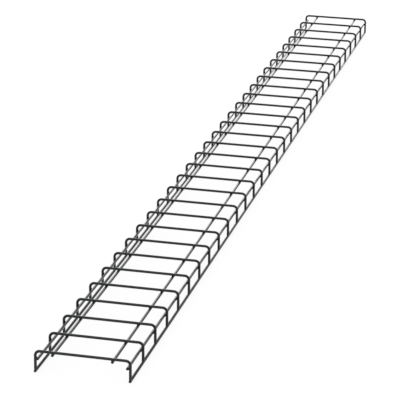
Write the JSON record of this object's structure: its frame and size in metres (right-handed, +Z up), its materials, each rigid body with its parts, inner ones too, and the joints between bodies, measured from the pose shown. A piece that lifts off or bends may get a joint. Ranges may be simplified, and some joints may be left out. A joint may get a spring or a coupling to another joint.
{
  "type": "wire mesh cable tray",
  "caption": "Shallow trough of welded round wire with a black powder coat that carries cable runs: bent cross wires on straight long wires, lying open side down.",
  "frame": {"origin": "on the floor under the middle of the tray, at the bottom centre of its box", "axes": "+X across the tray, +Y along it, +Z up; the open side of the trough faces down"},
  "size_m": [0.2124, 3.008, 0.051],
  "materials": {
    "powder_coat": "satin black powder coat over steel wire"
  },
  "bodies": {
    "root": {"cross_wire_01": "powder_coat", "cross_wire_02": "powder_coat", "cross_wire_03": "powder_coat", "cross_wire_04": "powder_coat", "cross_wire_05": "powder_coat", "cross_wire_06": "powder_coat", "cross_wire_07": "powder_coat", "cross_wire_08": "powder_coat", "cross_wire_09": "powder_coat", "cross_wire_10": "powder_coat", "cross_wire_11": "powder_coat", "cross_wire_12": "powder_coat", "cross_wire_13": "powder_coat", "cross_wire_14": "powder_coat", "cross_wire_15": "powder_coat", "cross_wire_16": "powder_coat", "cross_wire_17": "powder_coat", "cross_wire_18": "powder_coat", "cross_wire_19": "powder_coat", "cross_wire_20": "powder_coat", "cross_wire_21": "powder_coat", "cross_wire_22": "powder_coat", "cross_wire_23": "powder_coat", "cross_wire_24": "powder_coat", "cross_wire_25": "powder_coat", "cross_wire_26": "powder_coat", "cross_wire_27": "powder_coat", "cross_wire_28": "powder_coat", "cross_wire_29": "powder_coat", "cross_wire_30": "powder_coat", "cross_wire_31": "powder_coat", "edge_wire_left": "powder_coat", "edge_wire_right": "powder_coat", "side_wire_left": "powder_coat", "side_wire_right": "powder_coat", "base_wire_left": "powder_coat", "base_wire_right": "powder_coat"}
  },
  "joints": []
}
